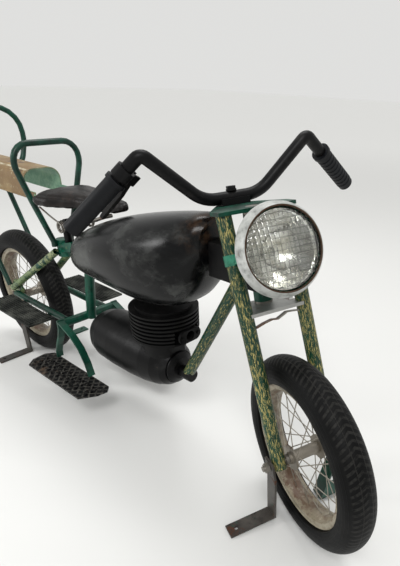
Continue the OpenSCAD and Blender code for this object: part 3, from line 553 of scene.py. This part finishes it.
# place along the saddle, top, skirt's edge, half width, in millimetres from the rear axle
SADDLE_ROWS = [
    (308, 603, 587, 58), (318, 615, 583, 86), (339, 621.5, 580, 93), (375, 623.5, 580, 87),
    (413, 623.5, 581, 62), (451, 623.5, 584, 41), (508, 624.5, 586, 28), (565, 626.5, 591, 21),
    (589, 623.5, 598, 15), (598, 617, 605, 8),
]


def row_at(rows, x):
    """The row at x, eased a little between the two rows beside it."""
    for a, b in zip(rows, rows[1:]):
        if x <= b[0]:
            break
    t = min(max((x - a[0]) / (b[0] - a[0]), 0.0), 1.0)
    t = t * t * (3 - 2 * t) * 0.35 + t * 0.65
    return [p + (q - p) * t for p, q in zip(a, b)]


def add_saddle():
    """Leather top with a rolled edge, a pressed line inside it and folds over the springs."""
    rings, count = 72, 96
    back = SADDLE_ROWS[0][0]
    length = SADDLE_ROWS[-1][0] - back
    verts = []
    for i in range(rings):
        x = back + length * (0.5 - 0.5 * math.cos(math.pi * i / (rings - 1)))
        top, low, half = row_at(SADDLE_ROWS, x)[1:]
        mid = low + (top - low) * 0.35
        for k in range(count):
            a = 2 * math.pi * k / count
            c, d = math.cos(a), math.sin(a)
            y = half * math.copysign(abs(c) ** 0.7, c)
            reach, power = (top - mid, 0.9) if d > 0 else (mid - low, 0.5)
            z = mid + reach * math.copysign(abs(d) ** power, d)
            if d > 0:
                fold = noise.noise(Vector((x * 0.018, y * 0.05, 3.0))) * 1.6
                crease = -1.4 * math.exp(-((abs(y) / half - 0.86) * 22) ** 2) * min(1.0, half / 30)
                along = max(0.0, min(1.0, (x - 400) / 60)) * (x < 575)
                dip = -2.2 * math.exp(-(y / 14) ** 2) * along
                z += (fold - 1.2) * min(1.0, d * 2) + crease + dip
            elif abs(c) > 0.35:
                z += 0.8 * math.sin(x * 0.25) * abs(c)
            verts.append(ORIGIN + Vector((x, y, z)) * MM)
    obj = new_piece("saddle_leather", verts, ring_faces(rings, count), mats["leather"])
    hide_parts("saddle_cover")
    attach(obj, "saddle")


def turned(name, profile, mat, count=96):
    """A skin turned about the lamp's forward axis from (radius, forward) points."""
    angles = [2 * math.pi * k / count for k in range(count)]
    verts = [LAMP @ (Vector((f, r * math.cos(a), r * math.sin(a))) * MM)
             for r, f in profile for a in angles]
    return new_piece(name, verts, ring_faces(len(profile), count, False), mat)


def add_lamp_inside():
    """Dish and bulb behind the glass."""
    steps, sheet = 16, 1.2
    face = [(2 + 68 * t, -13 + 56 * t ** 2.1) for t in [i / steps for i in range(steps + 1)]]
    rear = [(r, f - sheet) for r, f in reversed(face)]
    dish = turned("lamp_reflector", face + rear, mats["mirror"])
    glass = [(0.6, 10), (6, 8), (9, 2), (8.5, -5), (5, -12), (5, -13.5), (0.6, -13.5)]
    bulb = turned("lamp_bulb", glass, mats["glass"], 32)
    for obj in (dish, bulb):
        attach(obj, "headlight")


def add_gasket():
    """Brown rubber bead between the lamp's ring and its glass."""
    steps, thick = 12, 1.9
    angles = [2 * math.pi * i / steps for i in range(steps + 1)]
    bead = [(75.0 + thick * math.cos(a), 50.3 + thick * math.sin(a)) for a in angles]
    obj = turned("lamp_gasket", bead, mats["gasket"])
    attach(obj, "headlight")


def add_springs():
    """One coiled wire each side of the saddle's clamp."""
    sides, wire, steps, coil_r = 12, 2.3, 72, 14
    for s in (-1, 1):
        coil = []
        for i in range(steps + 1):
            a = math.pi / 2 - 4.5 * math.pi * i / steps
            y = s * (50 - 11 * (i / steps))
            coil.append((359 + coil_r * math.cos(a), y, 523 + coil_r * math.sin(a)))
        path = [(318.5, s * 71.8, 574.6), (336, s * 58, 552)] + coil + [(351.3, s * 37.6, 537.6)]
        path = [Vector(p) for p in path]
        verts = []
        for i, p in enumerate(path):
            way = (path[min(i + 1, len(path) - 1)] - path[max(i - 1, 0)]).normalized()
            a = way.cross(Vector((0, 1, 0))).normalized()
            b = way.cross(a)
            for k in range(sides):
                turned_by = 2 * math.pi * k / sides
                out = math.cos(turned_by) * a + math.sin(turned_by) * b
                verts.append(ORIGIN + (p + wire * out) * MM)
        obj = new_piece("saddle_spring_left" if s > 0 else "saddle_spring_right", verts,
                        ring_faces(len(path), sides), mats["steel"])
        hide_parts("saddle_springs")
        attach(obj, "frame")
        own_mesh(obj)


add_saddle()
add_springs()
add_lamp_inside()
add_gasket()


# ---- floor, light and camera ----
def add_stage():
    """Pale floor just under the feet, darker near the model and lighter with distance: a painted
    light falloff that blends the far floor into the background.
    """
    mesh = bpy.data.meshes.new("floor")
    size, below = 30.0, -0.0005
    corners = [(-size, -size), (size, -size), (size, size), (-size, size)]
    mesh.from_pydata([(x, y, below) for x, y in corners], [], [(0, 1, 2, 3)])
    floor = bpy.data.objects.new("floor", mesh)
    bpy.context.collection.objects.link(floor)
    s = Shader("floor_pale", Specular_IOR_Level=0.2)
    # painted light falloff: darker near the model, lighter far off to meet the background
    painted_falloff_tone = s.mix(s.step(s.radius("X", "Y"), 1.5, 8.0), (0.74, 0.74, 0.725), (0.97, 0.97, 0.955))
    dress(floor, s.finish(painted_falloff_tone, s.range(s.noise(20, 4, 0.6), 0.7, 0.85)))


def add_area(name, place, target, size, power):
    """Rectangular light at place that faces target; metres and watts."""
    light = bpy.data.lights.new(name, "AREA")
    light.shape = "RECTANGLE"
    light.size, light.size_y = size
    light.energy = power
    obj = bpy.data.objects.new(name, light)
    obj.location = place
    obj.rotation_euler = (Vector(target) - Vector(place)).to_track_quat("-Z", "Y").to_euler()
    bpy.context.collection.objects.link(obj)


# metres, degrees, millimetres and shares of the frame's longer side
CAMERA_PLACE = (0.96906, -0.73915, 0.8881)
CAMERA_TURN = (59.1457, -2.2, 38.3267)
CAMERA_LENS = 29.112
CAMERA_SHIFT = (-0.1162, 0.1242)


def add_camera():
    """View from the front right and above, framed off centre."""
    cam = bpy.data.cameras.new("camera")
    cam.sensor_fit = "AUTO"
    cam.sensor_width = 36.0
    cam.lens = CAMERA_LENS
    cam.shift_x, cam.shift_y = CAMERA_SHIFT
    obj = bpy.data.objects.new("camera", cam)
    obj.location = CAMERA_PLACE
    obj.rotation_euler = [math.radians(a) for a in CAMERA_TURN]
    bpy.context.collection.objects.link(obj)
    bpy.context.scene.camera = obj


def add_world():
    """Even pale surroundings; the plain view transform keeps the blacks dark."""
    world = bpy.data.worlds.new("studio")
    world.use_nodes = True
    background = world.node_tree.nodes["Background"]
    background.inputs["Color"].default_value = (0.95, 0.95, 0.935, 1)
    background.inputs["Strength"].default_value = 0.78
    bpy.context.scene.view_settings.view_transform = "Standard"
    bpy.context.scene.world = world


add_stage()
add_world()
add_area("key", place=(1.6, -1.8, 2.8), target=(0, 0, 0.4), size=(0.9, 0.9), power=44)
add_area("side", place=(-1.8, -2.2, 1.6), target=(0, 0, 0.5), size=(0.8, 0.6), power=20)
add_area("top", place=(-0.4, 0.8, 3.0), target=(0, 0, 0.3), size=(1.6, 0.7), power=34)
add_camera()

bpy.context.view_layer.update()
